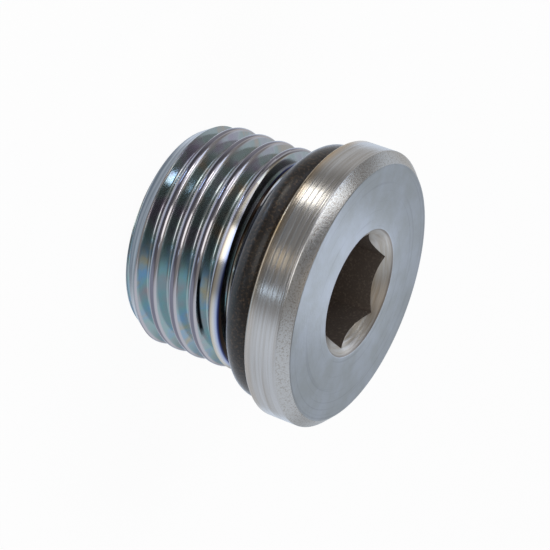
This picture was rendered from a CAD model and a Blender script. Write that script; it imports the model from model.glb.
import math
import bpy
from mathutils import Matrix, Vector


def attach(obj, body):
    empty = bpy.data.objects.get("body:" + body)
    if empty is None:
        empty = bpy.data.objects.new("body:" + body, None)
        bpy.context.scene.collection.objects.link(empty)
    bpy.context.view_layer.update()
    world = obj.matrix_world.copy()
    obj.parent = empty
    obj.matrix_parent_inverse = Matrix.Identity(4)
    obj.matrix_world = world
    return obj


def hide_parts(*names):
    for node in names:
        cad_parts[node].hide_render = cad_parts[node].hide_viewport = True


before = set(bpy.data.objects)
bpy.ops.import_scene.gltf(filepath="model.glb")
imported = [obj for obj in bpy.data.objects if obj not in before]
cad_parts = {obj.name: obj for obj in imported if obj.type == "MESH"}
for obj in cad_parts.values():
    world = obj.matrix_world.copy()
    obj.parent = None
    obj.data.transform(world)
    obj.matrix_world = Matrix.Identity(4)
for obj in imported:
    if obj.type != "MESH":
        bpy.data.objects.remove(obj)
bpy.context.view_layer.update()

bpy.ops.object.select_all(action="DESELECT")

# ---------------------------------------------------------------------------
# Camera. The plug stands on its nose, and the camera looks down on its head and
# is rolled far over, so that the head comes out to the lower right.
# ---------------------------------------------------------------------------
camera_bearing = math.radians(253.4)
camera_height = math.radians(24.81)
camera_roll = math.radians(110.33)
camera_distance = 0.13096
camera_aim = Vector((0.00077, 0.00001, 0.0068))

camera_data = bpy.data.cameras.new("camera")
camera_data.sensor_width = 36
camera_data.lens = 140.3
camera_data.clip_start = 0.01
camera = bpy.data.objects.new("camera", camera_data)
bpy.context.scene.collection.objects.link(camera)
towards_camera = Vector((
    math.cos(camera_bearing) * math.cos(camera_height),
    math.sin(camera_bearing) * math.cos(camera_height),
    math.sin(camera_height),
))
upright = towards_camera.to_track_quat("Z", "Y").to_matrix()
camera.matrix_world = (
    Matrix.Translation(camera_aim + towards_camera * camera_distance)
    @ (upright @ Matrix.Rotation(camera_roll, 3, "Z")).to_4x4()
)
bpy.context.scene.camera = camera
bpy.context.scene.view_settings.view_transform = "Standard"

# ---------------------------------------------------------------------------
# Room. A grey studio, which the plating mirrors. Its walls, floor and ceiling
# are painted in paler and darker zones, and each zone fades out at its edges.
# ---------------------------------------------------------------------------
wall_colour = "#807e7c"
side_fade = 10  # how far a zone fades at its sides, in degrees each way
edge_fade = 0.04  # the same at its lower and upper edge, as a share of straight up
room_zones = [
    # Bearing of the middle, reach to each side, lower and upper edge, all in degrees, and
    # the colour. A reach of 180 is all the way round, and edges of 90 are straight up or down.
    (0, 180, -90, -48, "#a6acb4"),
    (0, 180, 76, 90, "#bdb2a6"),
    (240, 42, -75, -42, "#dfe6f0"),
    (222, 62, -40, -30, "#101010"),
    (212, 34, 60, 74, "#4c5058"),
    (86, 38, -12, 38, "#c0c5cc"),
    (113, 46, -42, 6, "#b4b3b2"),
    (327, 29, -52, 0, "#ccd0d6"),
    (338, 26, -4, 64, "#bcc0c6"),
    (325, 40, -75, -42, "#b2c2ce"),
    (75, 35, -48, -14, "#dce6f4"),
    (5, 34, -53, 55, "#c4c8ce"),
]


def linear(hex_colour):
    """An sRGB hex colour as the linear colour that a shader takes."""
    channels = [int(hex_colour[place:place + 2], 16) / 255 for place in (1, 3, 5)]
    return tuple(
        channel / 12.92 if channel <= 0.04045 else ((channel + 0.055) / 1.055) ** 2.4
        for channel in channels
    ) + (1.0,)


def add_node(tree, kind, settings=None, links=None, stops=()):
    """A node of this kind. Settings name its properties or its inputs, and links feed its
    inputs. An input goes by its name, or by its number where others have the same name. The
    stops of a colour ramp are places from 0 to 1, each with a colour."""
    node = tree.nodes.new(kind)
    for key, value in (settings or {}).items():
        if isinstance(key, str) and hasattr(node, key):
            setattr(node, key, value)
        else:
            node.inputs[key].default_value = value
    for key, source in (links or {}).items():
        tree.links.new(source, node.inputs[key])
    if stops:
        on_ramp = node.color_ramp.elements
        for stop, (place, colour) in ((on_ramp[0], stops[0]), (on_ramp[1], stops[-1])):
            stop.position = place
            stop.color = colour
        for place, colour in stops[1:-1]:
            on_ramp.new(place).color = colour
    return node


room = bpy.data.worlds.new("grey_room")
bpy.context.scene.world = room
room.use_nodes = True
tree = room.node_tree
tree.nodes.clear()
seen_along = add_node(tree, "ShaderNodeTexCoord").outputs["Generated"]
height_seen = add_node(tree, "ShaderNodeSeparateXYZ", None, {0: seen_along}).outputs["Z"]
level = add_node(tree, "ShaderNodeVectorMath", {"operation": "MULTIPLY", 1: (1, 1, 0)}, {
    0: seen_along,
})
level_way = add_node(tree, "ShaderNodeVectorMath", {"operation": "NORMALIZE"}, {
    0: level.outputs[0],
})
room_colour = add_node(tree, "ShaderNodeRGB").outputs[0]
room_colour.default_value = linear(wall_colour)
for bearing, reach, low, high, zone_colour in room_zones:
    edges = []  # what is compared, where the zone starts and where it is full
    if reach < 180:
        facing = (math.cos(math.radians(bearing)), math.sin(math.radians(bearing)), 0)
        beside = add_node(tree, "ShaderNodeVectorMath", {"operation": "DOT_PRODUCT", 1: facing}, {
            0: level_way.outputs[0],
        })
        starts = math.cos(math.radians(reach + side_fade))
        full = math.cos(math.radians(reach - side_fade))
        edges.append((beside.outputs["Value"], starts, full))
    if low > -90:
        low_edge = math.sin(math.radians(low))
        edges.append((height_seen, low_edge - edge_fade, low_edge + edge_fade))
    if high < 90:
        high_edge = math.sin(math.radians(high))
        edges.append((height_seen, high_edge + edge_fade, high_edge - edge_fade))
    inside = None
    for compared, starts, full in edges:
        share = add_node(tree, "ShaderNodeMapRange", {
            "interpolation_type": "SMOOTHSTEP", "From Min": starts, "From Max": full,
        }, {"Value": compared}).outputs[0]
        if inside is not None:
            share = add_node(tree, "ShaderNodeMath", {"operation": "MULTIPLY"}, {
                0: share, 1: inside,
            }).outputs[0]
        inside = share
    room_colour = add_node(tree, "ShaderNodeMix", {"data_type": "RGBA", 7: linear(zone_colour)}, {
        0: inside, 6: room_colour,
    }).outputs[2]
background = add_node(tree, "ShaderNodeBackground", None, {"Color": room_colour})
add_node(tree, "ShaderNodeOutputWorld", None, {"Surface": background.outputs[0]})

# ---------------------------------------------------------------------------
# Soft boxes. White cloth lamps hung round the plug. Each is given by where it is
# seen from the plug and how large it looks from there. A lamp that hangs closer
# than the others lights one patch only, and is given as seen from that patch.
# ---------------------------------------------------------------------------
mm = 0.001
soft_boxes = {
    # Bearing, height, width and tallness in degrees, distance in metres, the point in
    # millimetres that it is seen from, colour, and brightness, where 1 is a white wall.
    "bright_strip": (194, -24.8, 18, 18, 0.012, (-6.3, -6.0, 11.0), "#fffaf0", 2.9),
    "bright_strip_above": (196, 47, 32, 13, 0.4, (0, 0, 0), "#fbfcff", 1.65),
    "soft_side": (197, 15, 34, 42, 0.4, (0, 0, 0), "#f4f4ff", 0.5),
    "thread_glow": (204, -27, 17, 6, 0.010, (-4.2, -5.05, 1.22), "#c8e0ff", 8.0),
    "high_side": (163, 50, 15, 12, 0.4, (0, 0, 0), "#ffffff", 1.0),
    "beside_the_slope": (171, 30, 15, 24, 0.4, (0, 0, 0), "#d8e8ff", 1.0),
    "behind_camera": (252, 27, 30, 38, 0.4, (0, 0, 0), "#f4f1ee", 1.2),
    "warm_glow": (250, -24.8, 16, 12, 0.012, (-2.75, -8.31, 11.0), "#ffe9c4", 0.7),
    "narrow_glint": (277, -24.8, 6, 16, 0.012, (-0.76, -8.72, 11.0), "#d8ecff", 1.5),
    "over_the_face": (75, 24, 26, 20, 0.018, (-2.6, -7.2, 12.6), "#eaf0ff", 0.62),
}
for name, placing in soft_boxes.items():
    bearing, height, width, tallness, distance, seen_from, light_colour, brightness = placing
    light = bpy.data.lights.new(name, "AREA")
    light.shape = "RECTANGLE"
    light.size = 2 * distance * math.tan(math.radians(width / 2))
    light.size_y = 2 * distance * math.tan(math.radians(tallness / 2))
    light.color = linear(light_colour)[:3]
    light.energy = brightness * math.pi * light.size * light.size_y
    soft_box = bpy.data.objects.new(name, light)
    bpy.context.scene.collection.objects.link(soft_box)
    outward = Vector((
        math.cos(math.radians(bearing)) * math.cos(math.radians(height)),
        math.sin(math.radians(bearing)) * math.cos(math.radians(height)),
        math.sin(math.radians(height)),
    ))
    soft_box.matrix_world = (
        Matrix.Translation(Vector(seen_from) * mm + outward * distance)
        @ outward.to_track_quat("Z", "Y").to_matrix().to_4x4()
    )
    soft_box.visible_camera = False

# ---------------------------------------------------------------------------
# Table. A sheet of white acrylic with lamps below it, so bright that the plug
# throws hardly any shadow on it. The plug doesn't mirror it, but mirrors the room.
# ---------------------------------------------------------------------------
table_glow = 0.93
sheet_colour = "#616161"  # dark, as it gives back little of the light from above

bpy.ops.mesh.primitive_plane_add(size=2)
table = bpy.context.object
table.name = "white_table"
table.visible_glossy = False
table.visible_shadow = False
table.visible_diffuse = False

# Opal acrylic, cast and lit from below: one even white, without a gloss.
glowing_white = bpy.data.materials.new("glowing_white_acrylic")
glowing_white.use_nodes = True
tree = glowing_white.node_tree
tree.nodes.clear()
sheet = add_node(tree, "ShaderNodeBsdfDiffuse", {"Color": linear(sheet_colour)})
glow = add_node(tree, "ShaderNodeEmission", {"Color": linear("#ffffff"), "Strength": table_glow})
both = add_node(tree, "ShaderNodeAddShader", None, {0: sheet.outputs[0], 1: glow.outputs[0]})
add_node(tree, "ShaderNodeOutputMaterial", None, {"Surface": both.outputs[0]})
table.data.materials.append(glowing_white)

# ---------------------------------------------------------------------------
# Plug. A steel bar, turned to a flat head, a neck for the O-ring and a stud, then
# threaded, and broached in its head for a 1/4 inch key. All of it is plated with
# bright zinc. It is screwed into a port until its head seats.
# ---------------------------------------------------------------------------

# The blank, as it comes off the lathe. Sizes are in millimetres.
turn_steps = 256
head_radius = 8.75
head_underside = 9.82
face_height = 12.6
bevel_width = 0.65
bevel_height = 0.63
underside_break = 0.13
edge_rounding = 0.06
thread_radius = 7.14
root_radius = 6.2817
neck_radius = 6.1617
lead_depth = 0.7  # how far the chamfer at the nose lies inside the crests
lead_length = 1.15  # how far the same chamfer runs up the thread
narrows_from = 6.23  # from this height up, the blank narrows to the neck
slope_at_thread_end = [  # radius and height, from the last crest to the neck
    (6.94, 6.68),
    (6.76, 7.00),
    (6.64, 7.25),
    (6.52, 7.42),
    (6.30, 7.62),
    (neck_radius, 7.78),
]
socket_flats = 6.35
corner_radius = socket_flats / 2 / math.cos(math.radians(30))
mouth_radius = corner_radius + 0.41
countersink_depth = 0.85
countersink_slope = math.tan(math.radians(50))
spare = 0.1  # the blank stands this far outside the crests, where the thread is cut from it


def turn(name, half_section):
    """A closed turned solid, drawn out ring by ring along points (radius, height) in mm."""
    radius, height = half_section[0]
    bpy.ops.mesh.primitive_circle_add(vertices=turn_steps, radius=radius * mm, enter_editmode=True)
    bpy.ops.transform.translate(value=(0, 0, height * mm))
    bpy.ops.mesh.edge_face_add()
    for next_radius, next_height in half_section[1:]:
        bpy.ops.mesh.extrude_region_move(
            TRANSFORM_OT_translate={"value": (0, 0, (next_height - height) * mm)}
        )
        growth = next_radius / radius
        bpy.ops.transform.resize(value=(growth, growth, 1), center_override=(0, 0, next_height * mm))
        radius, height = next_radius, next_height
    bpy.ops.mesh.select_all(action="SELECT")
    bpy.ops.mesh.normals_make_consistent(inside=False)
    bpy.ops.object.mode_set(mode="OBJECT")
    bpy.context.object.name = name
    return bpy.context.object


def work(piece, kind, **settings):
    """Adds a modifier to the piece and applies it."""
    modifier = piece.modifiers.new(kind.lower(), kind)
    for key, value in settings.items():
        setattr(modifier, key, value)
    bpy.context.view_layer.objects.active = piece
    bpy.ops.object.modifier_apply(modifier=modifier.name)


plug = turn("plug", [
    (thread_radius - lead_depth, 0),
    (thread_radius + spare, lead_length * (1 + spare / lead_depth)),
    (thread_radius + spare, narrows_from),
    *slope_at_thread_end,
    (neck_radius, head_underside),
    (head_radius - underside_break, head_underside),
    (head_radius, head_underside + underside_break),
    (head_radius, face_height - bevel_height),
    (head_radius - bevel_width, face_height),
    (mouth_radius, face_height),
    (mouth_radius - countersink_depth * countersink_slope, face_height - countersink_depth),
])
work(
    plug, "BEVEL", limit_method="ANGLE", angle_limit=math.radians(20), width=edge_rounding * mm,
    segments=3,
)

# The thread, 18 turns to the inch and right-hand, with flat crests and roots that are
# rounded at their edges. One section of the whole thread, a chain of points, is screwed
# into a bar, and the plug keeps what lies inside the bar.
thread_pitch = 1.4111
crest_width = 0.42
root_width = 0.15
crest_bearing = 253.4  # one side of the plug, in degrees from +X
crest_height = 2.2  # from the nose to the middle of a crest on that side
turns = 7
clear_radius = 9.6  # above the thread the bar is wider than the head
merge_distance = 0.001 * mm  # points that are closer than this become one

flank_width = (thread_pitch - crest_width - root_width) / 2
flank_foot = root_radius + root_width / 2 / math.tan(math.radians(30))
bar_start = crest_height - thread_pitch * crest_bearing / 360 - 3 * thread_pitch
chain = [(0, bar_start), (thread_radius, bar_start)]
down_the_flank = (0, 0.36, 0.85, 1)  # the two points between its ends keep its middle flat
for turn_number in range(turns):
    crest_middle = bar_start + turn_number * thread_pitch
    for share in down_the_flank:
        chain.append((
            thread_radius + (flank_foot - thread_radius) * share,
            crest_middle + crest_width / 2 + flank_width * share,
        ))
    for share in reversed(down_the_flank):
        chain.append((
            thread_radius + (flank_foot - thread_radius) * share,
            crest_middle + thread_pitch - crest_width / 2 - flank_width * share,
        ))
    chain.append((thread_radius, crest_middle + thread_pitch))
height = bar_start + turns * thread_pitch + 0.02
chain.append((clear_radius, height))
while height < face_height + 0.2:
    height += thread_pitch
    chain.append((clear_radius, height))
chain.append((0, height))

bpy.ops.mesh.primitive_plane_add(size=1 * mm, enter_editmode=True)
bpy.ops.mesh.merge(type="CENTER")
bpy.ops.transform.translate(value=(0, 0, bar_start * mm))
for (radius, height), (next_radius, next_height) in zip(chain, chain[1:]):
    step = ((next_radius - radius) * mm, 0, (next_height - height) * mm)
    bpy.ops.mesh.extrude_vertices_move(TRANSFORM_OT_translate={"value": step})
bpy.ops.object.mode_set(mode="OBJECT")
bar = bpy.context.object
bar.name = "threaded_bar"
roundings = (
    # Radius, height above the middle of a crest, how far the corner is rounded, in parts
    (thread_radius, crest_width / 2, 0.16, 5),
    (thread_radius, -crest_width / 2, 0.2, 6),
    (flank_foot, (thread_pitch - root_width) / 2, 0.07, 3),
    (flank_foot, (root_width - thread_pitch) / 2, 0.07, 3),
)
for corner_distance, above_crest, rounding, parts in roundings:
    bpy.ops.object.mode_set(mode="EDIT")
    bpy.ops.mesh.select_all(action="DESELECT")
    bpy.ops.object.mode_set(mode="OBJECT")
    for point in bar.data.vertices:
        from_start = point.co.z / mm - bar_start
        phase = (from_start + thread_pitch / 2) % thread_pitch - thread_pitch / 2
        point.select = (
            abs(point.co.x / mm - corner_distance) < 0.001 and abs(phase - above_crest) < 0.001
        )
    bpy.ops.object.mode_set(mode="EDIT")
    bpy.ops.mesh.bevel(offset=rounding * mm, segments=parts, affect="VERTICES")
    bpy.ops.object.mode_set(mode="OBJECT")
work(
    bar, "SCREW", axis="Z", angle=2 * math.pi, screw_offset=thread_pitch * mm, iterations=1,
    steps=turn_steps, render_steps=turn_steps,
)
bpy.ops.object.mode_set(mode="EDIT")
bpy.ops.mesh.select_all(action="SELECT")
bpy.ops.mesh.remove_doubles(threshold=merge_distance)
bpy.ops.mesh.select_mode(type="EDGE")
bpy.ops.mesh.select_all(action="DESELECT")
bpy.ops.mesh.select_non_manifold()
bpy.ops.mesh.fill_holes(sides=0)
bpy.ops.mesh.select_all(action="SELECT")
bpy.ops.mesh.normals_make_consistent(inside=False)
bpy.ops.object.mode_set(mode="OBJECT")
work(plug, "BOOLEAN", operation="INTERSECT", solver="EXACT", object=bar)
bpy.data.objects.remove(bar)

# The socket: a hexagon, broached into a drilled hole whose 118 degree point is left below
# its floor. Two of its corners lie on X.
socket_floor = 7.4
broach_length = 6.2
drill_radius = socket_flats / 2 - 0.18
drill_slope = math.tan(math.radians(59))
drill_tip = 0.06  # the radius of the small flat at the drill's point, too wide to be merged
overrun = 0.05  # how far the drill is drawn up past the floor

bpy.ops.mesh.primitive_cylinder_add(
    vertices=6, radius=corner_radius * mm, depth=broach_length * mm,
    location=(0, 0, (socket_floor + broach_length / 2) * mm), rotation=(0, 0, math.radians(30)),
)
broach = bpy.context.object
broach.name = "broach"
work(plug, "BOOLEAN", operation="DIFFERENCE", solver="EXACT", object=broach)
bpy.data.objects.remove(broach)
drill = turn("drill", [
    (drill_tip, socket_floor - (drill_radius - drill_tip) / drill_slope),
    (drill_radius + overrun * drill_slope, socket_floor + overrun),
])
work(plug, "BOOLEAN", operation="DIFFERENCE", solver="EXACT", object=drill)
bpy.data.objects.remove(drill)

bpy.ops.object.select_all(action="DESELECT")
plug.select_set(True)
bpy.context.view_layer.objects.active = plug
bpy.ops.object.mode_set(mode="EDIT")
bpy.ops.mesh.select_all(action="SELECT")
bpy.ops.mesh.remove_doubles(threshold=merge_distance)
bpy.ops.mesh.dissolve_degenerate(threshold=merge_distance)
bpy.ops.mesh.select_mode(type="EDGE")
bpy.ops.mesh.select_all(action="DESELECT")
bpy.ops.mesh.select_non_manifold()
bpy.ops.mesh.fill_holes(sides=0)
bpy.ops.object.mode_set(mode="OBJECT")
# This angle keeps the edge sharp all along where the slope cuts into the thread.
bpy.ops.object.shade_smooth_by_angle(angle=math.radians(20.6))
work(plug, "WEIGHTED_NORMAL", keep_sharp=True)


def start_finish(name):
    """A new material, its empty node tree, and the place on the piece that it reads."""
    finish = bpy.data.materials.new(name)
    finish.use_nodes = True
    finish.node_tree.nodes.clear()
    place = add_node(finish.node_tree, "ShaderNodeTexCoord").outputs["Object"]
    return finish, finish.node_tree, place


# Bright zinc on the turned side of the head. The plating is too thin to fill the lines of
# the lathe, and they draw each glint out into streaks. Six deeper lines, 0.1 mm wide, wear
# off to one side. Over the O-ring the rim has a golden film.
# The feed leaves a line each 0.1 mm or so. They are drawn 0.2 mm apart, or they don't show.
scored_lines = [  # height, width and depth, where 1 is the deepest
    (10.40, 0.10, 0.4),
    (10.76, 0.10, 0.7),
    (11.13, 0.10, 0.7),
    (11.45, 0.10, 0.8),
    (11.74, 0.10, 0.9),
    (11.90, 0.08, 1.0),
]
side_zinc, tree, place = start_finish("zinc_plated_turned_side")
parts_of_place = add_node(tree, "ShaderNodeSeparateXYZ", None, {0: place})
up_the_side = add_node(tree, "ShaderNodeMapRange", {
    "From Min": head_underside * mm, "From Max": face_height * mm,
}, {"Value": parts_of_place.outputs["Z"]})
stretched = add_node(tree, "ShaderNodeMapping", {"Scale": (0.11 / mm, 0.11 / mm, 5 / mm)}, {0: place})
lathe_lines = add_node(tree, "ShaderNodeTexNoise", {"Scale": 1.0, "Detail": 3.0, "Roughness": 0.6}, {
    "Vector": stretched.outputs[0],
})
line_relief = add_node(tree, "ShaderNodeBump", {"Strength": 1.0, "Distance": 0.009 * mm}, {
    "Height": lathe_lines.outputs["Fac"],
})
side_height = face_height - head_underside
relief_stops = [(0, (1, 1, 1, 1))]
for line_height, line_width, line_depth in scored_lines:
    for step, relief in ((-1, 1), (0, 1 - line_depth), (1, 1)):
        above_underside = line_height + step * line_width / 2 - head_underside
        relief_stops.append((above_underside / side_height, (relief, relief, relief, 1)))
relief_stops.append((1, (1, 1, 1, 1)))
deep_lines = add_node(tree, "ShaderNodeValToRGB", None, {0: up_the_side.outputs[0]}, relief_stops)
worn = add_node(tree, "ShaderNodeMapRange", {
    "From Min": -1.5 * mm, "From Max": 2.5 * mm, "To Min": 1.0, "To Max": 0.25,
}, {"Value": parts_of_place.outputs["X"]})
deep_relief = add_node(tree, "ShaderNodeBump", {"Distance": 0.009 * mm}, {
    "Strength": worn.outputs[0], "Height": deep_lines.outputs[0], "Normal": line_relief.outputs[0],
})
line_tone = add_node(tree, "ShaderNodeValToRGB", None, {0: lathe_lines.outputs["Fac"]}, [
    (0.3, linear("#c8c5c1")), (0.6, linear("#e0e1e3")),
])
rim = add_node(tree, "ShaderNodeMapRange", {
    "From Min": 0.22, "From Max": 0.03, "To Max": 1.6,
}, {"Value": up_the_side.outputs[0]})
rim_share = add_node(tree, "ShaderNodeMapRange", {
    "From Min": -2.5 * mm, "From Max": 0.5 * mm, "To Min": 1.0, "To Max": 0.4,
}, {"Value": parts_of_place.outputs["X"]})
rim_film = add_node(tree, "ShaderNodeMath", {"operation": "MULTIPLY"}, {
    0: rim.outputs[0], 1: rim_share.outputs[0],
})
film_cloud = add_node(tree, "ShaderNodeTexNoise", {"Scale": 0.7 / mm, "Detail": 4.0}, {"Vector": place})
rim_patches = add_node(tree, "ShaderNodeMath", {"operation": "MULTIPLY", "use_clamp": True}, {
    0: rim_film.outputs[0], 1: film_cloud.outputs["Fac"],
})
tint = add_node(tree, "ShaderNodeMix", {"data_type": "RGBA", 7: linear("#d8b98a")}, {
    0: rim_patches.outputs[0], 6: line_tone.outputs[0],
})
shader = add_node(tree, "ShaderNodeBsdfPrincipled", {"Metallic": 1.0, "Roughness": 0.24}, {
    "Base Color": tint.outputs[2], "Normal": deep_relief.outputs[0],
})
add_node(tree, "ShaderNodeOutputMaterial", None, {"Surface": shader.outputs[0]})

# Bright zinc on the bevel, where the tool tore the steel a little. The pits that this left,
# about 0.1 mm across, break the glints up into a sparkle.
bevel_zinc, tree, place = start_finish("zinc_plated_torn_bevel")
pits = add_node(tree, "ShaderNodeTexNoise", {"Scale": 9 / mm, "Detail": 3.0, "Roughness": 0.7}, {
    "Vector": place,
})
pit_relief = add_node(tree, "ShaderNodeBump", {"Strength": 1.0, "Distance": 0.007 * mm}, {
    "Height": pits.outputs["Fac"],
})
pit_tone = add_node(tree, "ShaderNodeValToRGB", None, {0: pits.outputs["Fac"]}, [
    (0.36, linear("#c0bbb5")), (0.5, linear("#dfe0e0")),
])
shader = add_node(tree, "ShaderNodeBsdfPrincipled", {"Metallic": 1.0, "Roughness": 0.26}, {
    "Base Color": pit_tone.outputs[0], "Normal": pit_relief.outputs[0],
})
add_node(tree, "ShaderNodeOutputMaterial", None, {"Surface": shader.outputs[0]})

# Bright zinc on the faced ends, the face and the nose: a bluish satin with a grain of
# 0.2 mm, clouds some 2 mm wide, and the faint rings that the tool left. The rings are drawn
# 0.2 mm apart, twice as coarse as the feed, or they don't show.
face_zinc, tree, place = start_finish("zinc_plated_faced_end")
grain = add_node(tree, "ShaderNodeTexNoise", {"Scale": 5 / mm, "Detail": 3.0}, {"Vector": place})
grain_relief = add_node(tree, "ShaderNodeBump", {"Strength": 1.0, "Distance": 0.008 * mm}, {
    "Height": grain.outputs["Fac"],
})
cloud = add_node(tree, "ShaderNodeTexNoise", {"Scale": 0.45 / mm, "Detail": 5.0, "Roughness": 0.6}, {
    "Vector": place,
})
cloud_tone = add_node(tree, "ShaderNodeValToRGB", None, {0: cloud.outputs["Fac"]}, [
    (0.38, linear("#bdc3c6")), (0.62, linear("#c9d0d8")),
])
across_axis = add_node(tree, "ShaderNodeVectorMath", {"operation": "MULTIPLY", 1: (1, 1, 0)}, {0: place})
from_axis = add_node(tree, "ShaderNodeVectorMath", {"operation": "LENGTH"}, {
    0: across_axis.outputs[0],
})
round_the_axis = add_node(tree, "ShaderNodeVectorMath", {"operation": "NORMALIZE"}, {
    0: across_axis.outputs[0],
})
outwards = add_node(tree, "ShaderNodeMath", {"operation": "MULTIPLY", 1: 4.5 / mm}, {
    0: from_axis.outputs["Value"],
})
wound = add_node(tree, "ShaderNodeVectorMath", {"operation": "ADD"}, {
    0: round_the_axis.outputs[0], 1: outwards.outputs[0],
})
facing_lines = add_node(tree, "ShaderNodeTexNoise", {"Scale": 1.0, "Detail": 1.0}, {
    "Vector": wound.outputs[0],
})
facing_tone = add_node(tree, "ShaderNodeValToRGB", None, {0: facing_lines.outputs["Fac"]}, [
    (0.30, linear("#f1f1f2")), (0.42, linear("#ffffff")),
])
face_tint = add_node(tree, "ShaderNodeMix", {"data_type": "RGBA", "blend_type": "MULTIPLY", 0: 1.0}, {
    6: cloud_tone.outputs[0], 7: facing_tone.outputs[0],
})
shader = add_node(tree, "ShaderNodeBsdfPrincipled", {"Metallic": 1.0, "Roughness": 0.38}, {
    "Base Color": face_tint.outputs[2], "Normal": grain_relief.outputs[0],
})
add_node(tree, "ShaderNodeOutputMaterial", None, {"Surface": shader.outputs[0]})

# Bright zinc on a rolled thread: smooth, with narrow glints along the crests. The clear film
# over the zinc shows as patches of teal, blue and straw, some 2 mm wide, mostly on one side.
# The crests have paler edges, and beside the last full one the rolling left a dark fold.
thread_zinc, tree, place = start_finish("zinc_plated_rolled_thread")
patches = add_node(tree, "ShaderNodeTexNoise", {"Scale": 0.55 / mm, "Detail": 3.0}, {"Vector": place})
film_tint = add_node(tree, "ShaderNodeValToRGB", None, {0: patches.outputs["Fac"]}, [
    (0.30, linear("#c9c3c6")), (0.40, linear("#bccbd0")), (0.50, linear("#b2d0d2")),
    (0.58, linear("#adcae0")), (0.70, linear("#cdc9b8")),
])
bare_tint = add_node(tree, "ShaderNodeValToRGB", None, {0: patches.outputs["Fac"]}, [
    (0.35, linear("#b9b4c2")), (0.45, linear("#c3c8cc")), (0.55, linear("#b4c0be")),
    (0.65, linear("#c4bcb2")),
])
parts_of_place = add_node(tree, "ShaderNodeSeparateXYZ", None, {0: place})
filmed_side = add_node(tree, "ShaderNodeMapRange", {
    "From Min": -2.2 * mm, "From Max": 0.9 * mm, "To Min": 0.1,
}, {"Value": parts_of_place.outputs["X"]})
flank_tint = add_node(tree, "ShaderNodeMix", {"data_type": "RGBA"}, {
    0: filmed_side.outputs[0], 6: bare_tint.outputs[0], 7: film_tint.outputs[0],
})
across_axis = add_node(tree, "ShaderNodeVectorMath", {"operation": "MULTIPLY", 1: (1, 1, 0)}, {0: place})
from_axis = add_node(tree, "ShaderNodeVectorMath", {"operation": "LENGTH"}, {
    0: across_axis.outputs[0],
})
on_edge = add_node(tree, "ShaderNodeMapRange", {
    "From Min": (thread_radius - 0.17) * mm, "From Max": (thread_radius - 0.09) * mm,
}, {"Value": from_axis.outputs["Value"]})
edge_tint = add_node(tree, "ShaderNodeMix", {"data_type": "RGBA", 7: linear("#dfdce2")}, {
    0: on_edge.outputs[0], 6: flank_tint.outputs[2],
})
on_crest = add_node(tree, "ShaderNodeMapRange", {
    "From Min": (thread_radius - 0.035) * mm, "From Max": (thread_radius - 0.01) * mm,
}, {"Value": from_axis.outputs["Value"]})
crest_tint = add_node(tree, "ShaderNodeMix", {"data_type": "RGBA", 7: linear("#9291a0")}, {
    0: on_crest.outputs[0], 6: edge_tint.outputs[2],
})
# The fold: its height is taken with the helix unwound, so that it follows the thread, but it
# drifts across it a little. It is 0.15 mm wide with its soft edges, and reaches 21 degrees
# to each side of its middle.
fold_bearing = math.radians(-71)
bearing = add_node(tree, "ShaderNodeMath", {"operation": "ARCTAN2"}, {
    0: parts_of_place.outputs["Y"], 1: parts_of_place.outputs["X"],
})
unwound = add_node(tree, "ShaderNodeMath", {
    "operation": "MULTIPLY_ADD", 1: -thread_pitch * mm / (2 * math.pi),
}, {0: bearing.outputs[0], 2: parts_of_place.outputs["Z"]})
fold_place = add_node(tree, "ShaderNodeMapRange", {
    "From Min": math.radians(-82), "From Max": math.radians(-55),
    "To Min": 5.765 * mm, "To Max": 5.85 * mm,
}, {"Value": bearing.outputs[0]})
above_fold = add_node(tree, "ShaderNodeMath", {"operation": "SUBTRACT"}, {
    0: unwound.outputs[0], 1: fold_place.outputs[0],
})
from_fold = add_node(tree, "ShaderNodeMath", {"operation": "ABSOLUTE"}, {0: above_fold.outputs[0]})
across_fold = add_node(tree, "ShaderNodeMapRange", {
    "From Min": 0.075 * mm, "From Max": 0.035 * mm,
}, {"Value": from_fold.outputs[0]})
past_middle = add_node(tree, "ShaderNodeMath", {"operation": "SUBTRACT", 1: fold_bearing}, {
    0: bearing.outputs[0],
})
from_middle = add_node(tree, "ShaderNodeMath", {"operation": "ABSOLUTE"}, {0: past_middle.outputs[0]})
along_fold = add_node(tree, "ShaderNodeMapRange", {
    "From Min": math.radians(21), "From Max": math.radians(14),
}, {"Value": from_middle.outputs[0]})
fold = add_node(tree, "ShaderNodeMath", {"operation": "MULTIPLY"}, {
    0: across_fold.outputs[0], 1: along_fold.outputs[0],
})
tint = add_node(tree, "ShaderNodeMix", {"data_type": "RGBA", 7: linear("#101418")}, {
    0: fold.outputs[0], 6: crest_tint.outputs[2],
})
shader = add_node(tree, "ShaderNodeBsdfPrincipled", {"Metallic": 1.0, "Roughness": 0.15}, {
    "Base Color": tint.outputs[2],
})
add_node(tree, "ShaderNodeOutputMaterial", None, {"Surface": shader.outputs[0]})

# Thin zinc on the broached walls of the socket. Hardly any plating reaches them, so they are
# dull and brownish, with paler specks of about 0.15 mm.
socket_zinc, tree, place = start_finish("thin_zinc_in_broached_socket")
specks = add_node(tree, "ShaderNodeTexNoise", {"Scale": 7 / mm, "Detail": 2.0}, {"Vector": place})
speck_tone = add_node(tree, "ShaderNodeValToRGB", None, {0: specks.outputs["Fac"]}, [
    (0.52, linear("#9a8f87")), (0.72, linear("#bdb3a8")),
])
shader = add_node(tree, "ShaderNodeBsdfPrincipled", {"Metallic": 1.0, "Roughness": 0.55}, {
    "Base Color": speck_tone.outputs[0],
})
add_node(tree, "ShaderNodeOutputMaterial", None, {"Surface": shader.outputs[0]})

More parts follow.
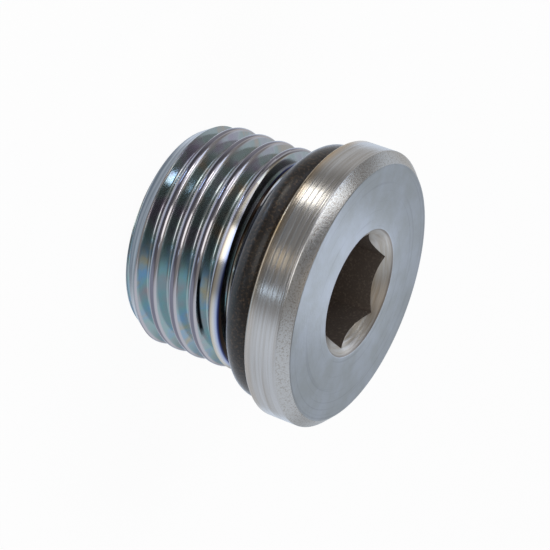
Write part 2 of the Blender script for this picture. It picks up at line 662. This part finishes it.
# Bright zinc on the turned countersink, warmer than the face, with lines 0.15 mm apart that
# run round it, and a darker edge at its mouth.
sink_zinc, tree, place = start_finish("zinc_plated_countersink")
stretched = add_node(tree, "ShaderNodeMapping", {"Scale": (0.35 / mm, 0.35 / mm, 7 / mm)}, {0: place})
sink_lines = add_node(tree, "ShaderNodeTexNoise", {"Scale": 1.0, "Detail": 3.0, "Roughness": 0.6}, {
    "Vector": stretched.outputs[0],
})
sink_relief = add_node(tree, "ShaderNodeBump", {"Strength": 1.0, "Distance": 0.02 * mm}, {
    "Height": sink_lines.outputs["Fac"],
})
sink_tone = add_node(tree, "ShaderNodeValToRGB", None, {0: sink_lines.outputs["Fac"]}, [
    (0.35, linear("#bdb4a6")), (0.6, linear("#d6d4d0")),
])
parts_of_place = add_node(tree, "ShaderNodeSeparateXYZ", None, {0: place})
at_the_mouth = add_node(tree, "ShaderNodeMapRange", {
    "From Min": (face_height - 0.12) * mm, "From Max": (face_height - 0.05) * mm,
}, {"Value": parts_of_place.outputs["Z"]})
sink_tint = add_node(tree, "ShaderNodeMix", {"data_type": "RGBA", 7: linear("#a09a94")}, {
    0: at_the_mouth.outputs[0], 6: sink_tone.outputs[0],
})
shader = add_node(tree, "ShaderNodeBsdfPrincipled", {"Metallic": 1.0, "Roughness": 0.3}, {
    "Base Color": sink_tint.outputs[2], "Normal": sink_relief.outputs[0],
})
add_node(tree, "ShaderNodeOutputMaterial", None, {"Surface": shader.outputs[0]})

# Bright zinc on the slope at the end of the thread. The clear film over it grows thicker
# down the slope, and gives it bands that run round the plug: cream and white, then blue, then
# nearly black, and pale again at the foot.
end_zinc, tree, place = start_finish("zinc_plated_thread_end")
parts_of_place = add_node(tree, "ShaderNodeSeparateXYZ", None, {0: place})
down_the_slope = add_node(tree, "ShaderNodeMapRange", {
    "From Min": 6.35 * mm, "From Max": 7.35 * mm,
}, {"Value": parts_of_place.outputs["Z"]})
film_bands = add_node(tree, "ShaderNodeValToRGB", None, {0: down_the_slope.outputs[0]}, [
    (0, linear("#d8d8e2")), (0.07, linear("#8c868a")), (0.15, linear("#efe8d6")),
    (0.26, linear("#f8f8f8")), (0.40, linear("#c4d4fa")), (0.49, linear("#3a4680")),
    (0.57, linear("#2a2424")), (0.75, linear("#3a2c20")), (0.85, linear("#d6d3ca")),
    (1, linear("#b4bccc")),
])
shader = add_node(tree, "ShaderNodeBsdfPrincipled", {"Metallic": 1.0, "Roughness": 0.16}, {
    "Base Color": film_bands.outputs[0],
})
add_node(tree, "ShaderNodeOutputMaterial", None, {"Surface": shader.outputs[0]})

# Bright zinc on the turned chamfer at the nose, with light and dark lines round it. They are
# drawn 0.25 mm apart, twice as coarse as the feed, or they don't show.
chamfer_zinc, tree, place = start_finish("zinc_plated_turned_chamfer")
stretched = add_node(tree, "ShaderNodeMapping", {"Scale": (0.12 / mm, 0.12 / mm, 4 / mm)}, {0: place})
chamfer_lines = add_node(tree, "ShaderNodeTexNoise", {"Scale": 1.0, "Detail": 3.0, "Roughness": 0.6}, {
    "Vector": stretched.outputs[0],
})
chamfer_relief = add_node(tree, "ShaderNodeBump", {"Strength": 1.0, "Distance": 0.01 * mm}, {
    "Height": chamfer_lines.outputs["Fac"],
})
chamfer_tone = add_node(tree, "ShaderNodeValToRGB", None, {0: chamfer_lines.outputs["Fac"]}, [
    (0.36, linear("#8f9aa4")), (0.62, linear("#e6eaee")),
])
shader = add_node(tree, "ShaderNodeBsdfPrincipled", {"Metallic": 1.0, "Roughness": 0.3}, {
    "Base Color": chamfer_tone.outputs[0], "Normal": chamfer_relief.outputs[0],
})
add_node(tree, "ShaderNodeOutputMaterial", None, {"Surface": shader.outputs[0]})

# Each facet of the plug takes the finish of its place, and of how it is tilted: 1 is straight
# up, -1 straight down and 0 straight out.
slope_from = 6.3
finishes = [
    side_zinc, face_zinc, thread_zinc, socket_zinc, bevel_zinc, sink_zinc, end_zinc, chamfer_zinc,
]
plug.data.materials.clear()
for finish in finishes:
    plug.data.materials.append(finish)
for facet in plug.data.polygons:
    tilt = facet.normal.z
    height = facet.center.z / mm
    off_axis = facet.center.xy.length / mm
    if height > face_height - 0.02 or height < 0.01:
        finish = face_zinc
    elif tilt < -0.4 and height < lead_length and off_axis > root_radius:
        finish = chamfer_zinc
    elif height < head_underside - 0.01 and off_axis > mouth_radius:
        finish = end_zinc if height > slope_from and abs(tilt) < 0.8 else thread_zinc
    elif off_axis < mouth_radius + 0.1:
        in_countersink = height > face_height - countersink_depth
        finish = sink_zinc if in_countersink and 0.3 < tilt < 0.9 else socket_zinc
    elif height > face_height - bevel_height:
        finish = bevel_zinc
    else:
        finish = side_zinc
    facet.material_index = finishes.index(finish)
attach(plug, "root")
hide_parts("plug_body")

# ---------------------------------------------------------------------------
# O-ring. Black nitrile rubber, 1.98 mm thick, moulded in one piece and stretched
# over the thread onto the neck, where its bore lies a little flat.
# ---------------------------------------------------------------------------
ring_section = 1.98
ring_flattening = 0.01
ring_gap = 0.02  # kept from the underside of the head
ring_radius = neck_radius + ring_section / 2 - ring_flattening
ring_height = head_underside - ring_gap - ring_section / 2
ring_facets = 48  # round its section

bpy.ops.mesh.primitive_torus_add(
    location=(0, 0, ring_height * mm), major_radius=ring_radius * mm,
    minor_radius=ring_section / 2 * mm, major_segments=turn_steps, minor_segments=ring_facets,
)
ring = bpy.context.object
ring.name = "rubber_ring"
bpy.ops.object.transform_apply(location=True)
for point in ring.data.vertices:
    point.co.xy *= max(1, neck_radius * mm / point.co.xy.length)
bpy.ops.object.shade_smooth()

# Nitrile rubber, moulded and lightly oiled: black with a brown cast. The oil gives it a soft
# gloss, and the dust that it holds, in specks of 0.2 mm, a paler edge and a fine grain.
rubber, tree, place = start_finish("moulded_nitrile_rubber")
speckle = add_node(tree, "ShaderNodeTexNoise", {"Scale": 5.5 / mm, "Detail": 3.0, "Roughness": 0.7}, {
    "Vector": place,
})
speckle_relief = add_node(tree, "ShaderNodeBump", {"Strength": 1.0, "Distance": 0.028 * mm}, {
    "Height": speckle.outputs["Fac"],
})
speckle_tone = add_node(tree, "ShaderNodeValToRGB", None, {0: speckle.outputs["Fac"]}, [
    (0.50, linear("#140d0a")), (0.66, linear("#50402f")),
])
shader = add_node(tree, "ShaderNodeBsdfPrincipled", {
    "Roughness": 0.34, "Specular IOR Level": 0.5,
    "Coat Weight": 1.0, "Coat IOR": 1.3, "Coat Roughness": 0.22,
    "Sheen Weight": 0.75, "Sheen Roughness": 0.3, "Sheen Tint": linear("#cfdcf0"),
}, {
    "Base Color": speckle_tone.outputs[0], "Normal": speckle_relief.outputs[0],
})
add_node(tree, "ShaderNodeOutputMaterial", None, {"Surface": shader.outputs[0]})
ring.data.materials.append(rubber)
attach(ring, "root")
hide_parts("o_ring")
